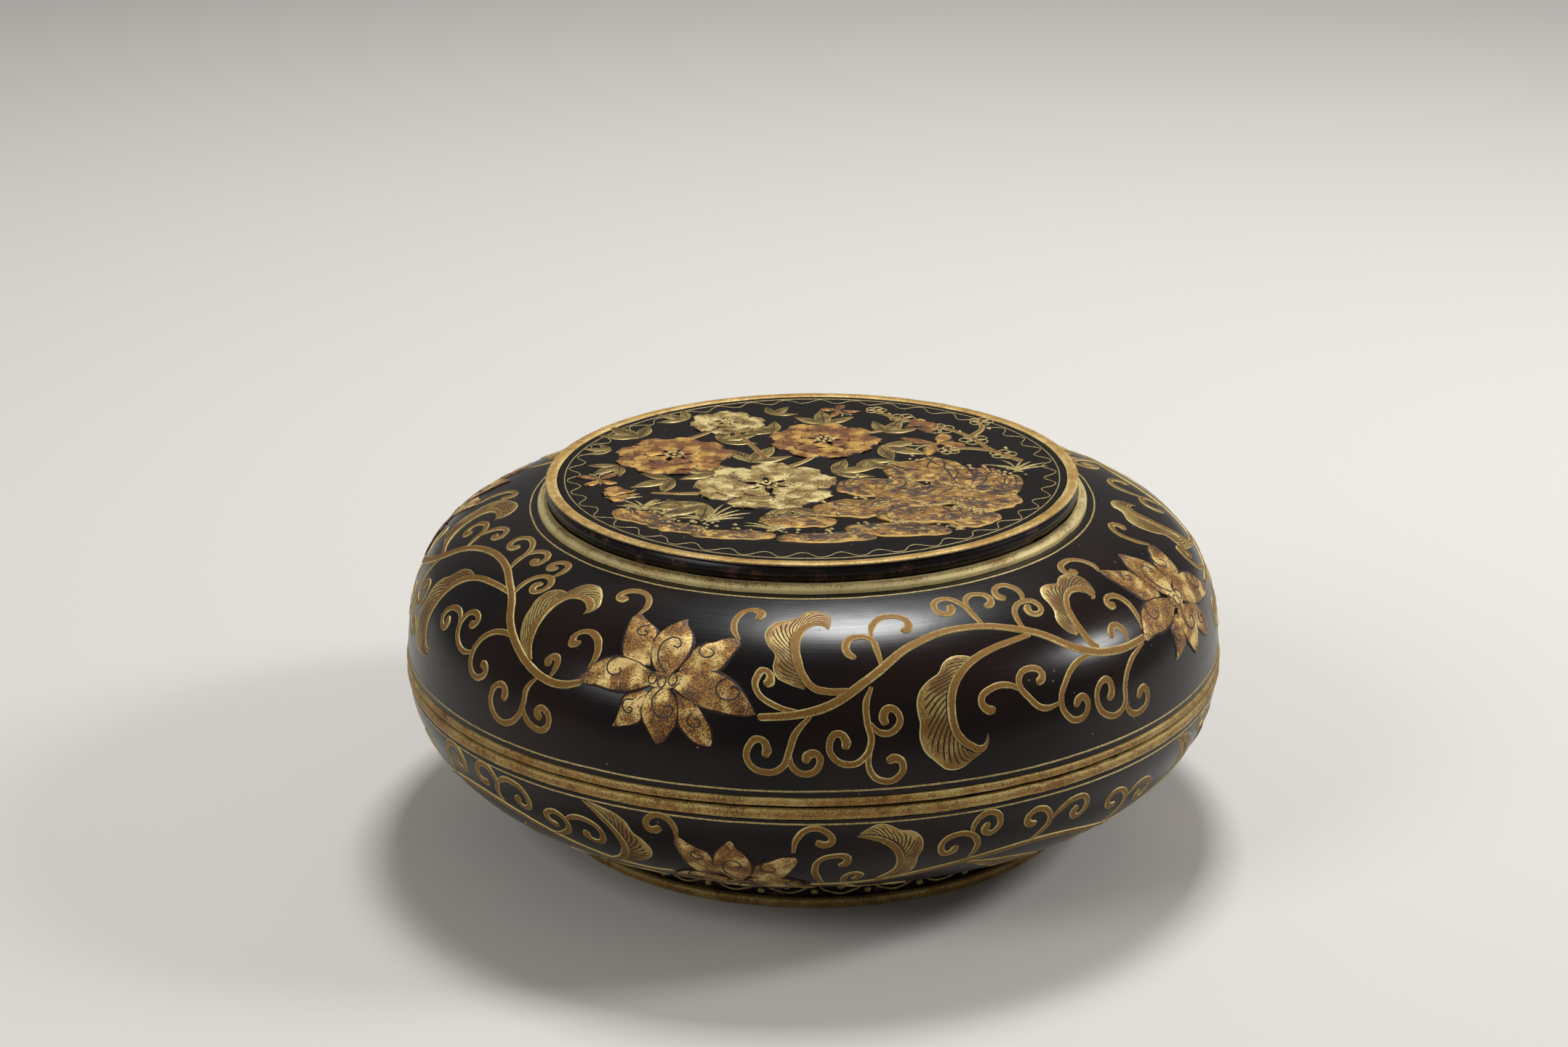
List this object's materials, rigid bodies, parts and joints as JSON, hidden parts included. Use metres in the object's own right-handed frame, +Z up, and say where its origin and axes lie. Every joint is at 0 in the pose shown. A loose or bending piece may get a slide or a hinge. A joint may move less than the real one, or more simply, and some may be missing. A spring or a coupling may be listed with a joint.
{
  "type": "lacquered storage box",
  "caption": "Round lacquered box with a domed shoulder, raised flat top, gilded hoops and a lid that lifts off a locating lip.",
  "frame": {"origin": "centre of the circle that the foot stands on", "axes": "+Z up along the box's axis, which the lid lifts along"},
  "size_m": [0.241, 0.241, 0.1027],
  "materials": {
    "black_lacquer": "polished black lacquer with a brown undertone",
    "inner_lacquer": "satin black-brown lacquer",
    "gold_lacquer": "worn gold over brown lacquer"
  },
  "bodies": {
    "bowl": {"foot_ring": "black_lacquer", "foot_hoop": "gold_lacquer", "base_board": "inner_lacquer", "bowl_wall": "black_lacquer", "body_mouth_hoop": "gold_lacquer", "lid_locating_lip": "inner_lacquer"},
    "lid": {"lid_shoulder": "black_lacquer", "lid_mouth_hoop": "gold_lacquer", "collar_ring": "black_lacquer", "neck_hoop": "gold_lacquer", "painted_top_board": "black_lacquer", "top_rim_hoop": "gold_lacquer"}
  },
  "joints": [
    {"name": "lid_lift", "type": "slide", "parent": "bowl", "child": "lid", "axis": [0, 0, 1], "range_m": [0, 0.15]}
  ]
}
